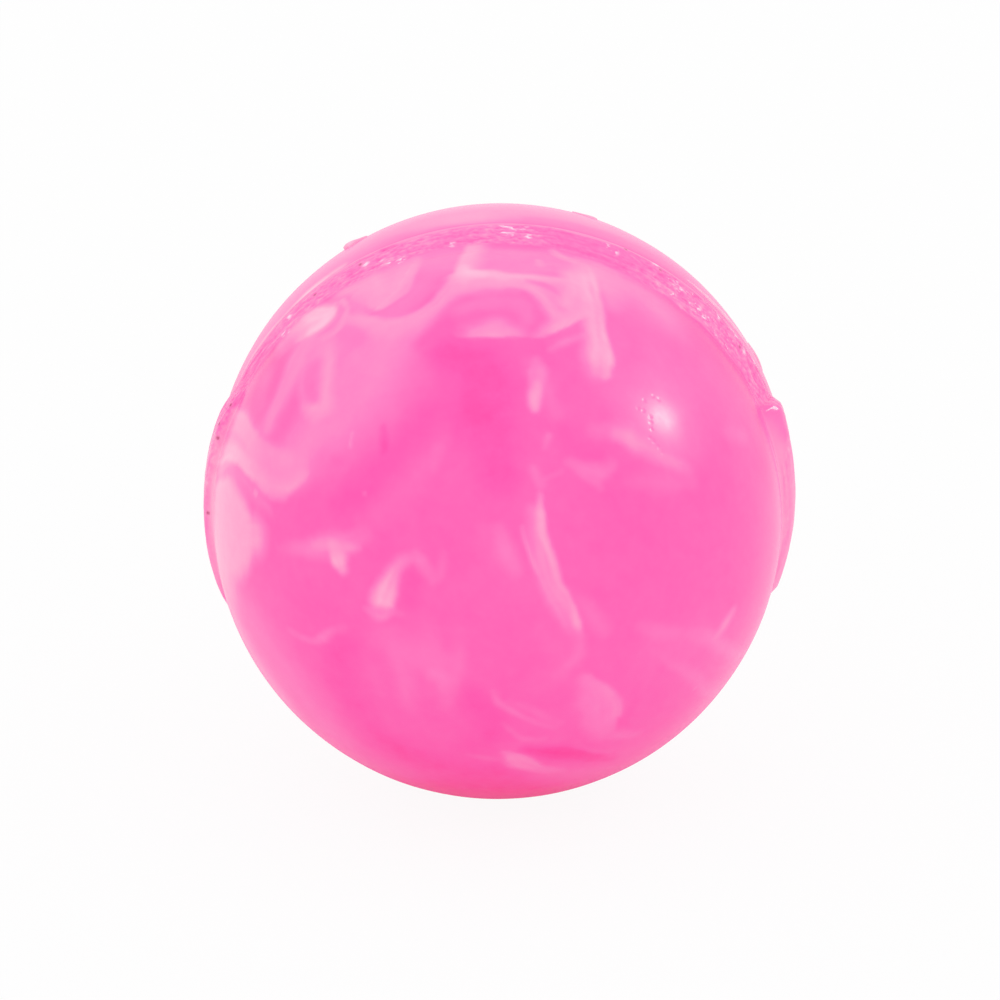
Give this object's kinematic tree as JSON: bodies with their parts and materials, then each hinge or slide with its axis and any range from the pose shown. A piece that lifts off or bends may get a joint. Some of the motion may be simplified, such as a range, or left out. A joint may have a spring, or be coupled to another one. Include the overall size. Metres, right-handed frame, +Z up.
{
  "type": "bouncy ball",
  "caption": "Solid marbled rubber bouncy ball moulded in two halves, with pale streaks set in its surface and a thick, roughly trimmed seam between the halves.",
  "frame": {"origin": "centre of the ball, in the middle of the web between its halves", "axes": "+Y through the poles from the front half to the rear half, +Z up, the seam lying in the XZ plane"},
  "size_m": [0.0282, 0.0292, 0.0276],
  "materials": {
    "pink_rubber": "glossy moulded",
    "pale_rubber": "glossy moulded",
    "seam_rubber": "torn and trimmed"
  },
  "bodies": {
    "root": {"front_half": "pink_rubber", "rear_half": "pink_rubber", "seam_web": "seam_rubber", "left_flash_tab": "seam_rubber", "right_flash_tab": "seam_rubber", "trim_crumbs": "seam_rubber", "crown_arch_streak": "pale_rubber", "crown_spot_streak": "pale_rubber", "right_ribbon_streak": "pale_rubber", "left_tooth_streak": "pale_rubber", "left_lens_streak": "pale_rubber", "loop_streak": "pale_rubber", "upper_band_streak": "pale_rubber", "lower_band_streak": "pale_rubber", "left_lobe_streak": "pale_rubber", "wing_streak": "pale_rubber", "hook_streak": "pale_rubber", "comet_streak": "pale_rubber", "comet_tail_streak": "pale_rubber", "centre_blob_streak": "pale_rubber", "fan_streak": "pale_rubber", "small_fan_streak": "pale_rubber", "lower_cloud_streak": "pale_rubber", "bottom_sweep_streak": "pale_rubber", "right_wisp_streak": "pale_rubber", "rear_arch_streak": "pale_rubber", "rear_ribbon_streak": "pale_rubber", "rear_lobe_streak": "pale_rubber", "rear_hook_streak": "pale_rubber", "rear_band_streak": "pale_rubber", "rear_cloud_streak": "pale_rubber", "rear_sweep_streak": "pale_rubber", "rear_wisp_streak": "pale_rubber"}
  },
  "joints": []
}
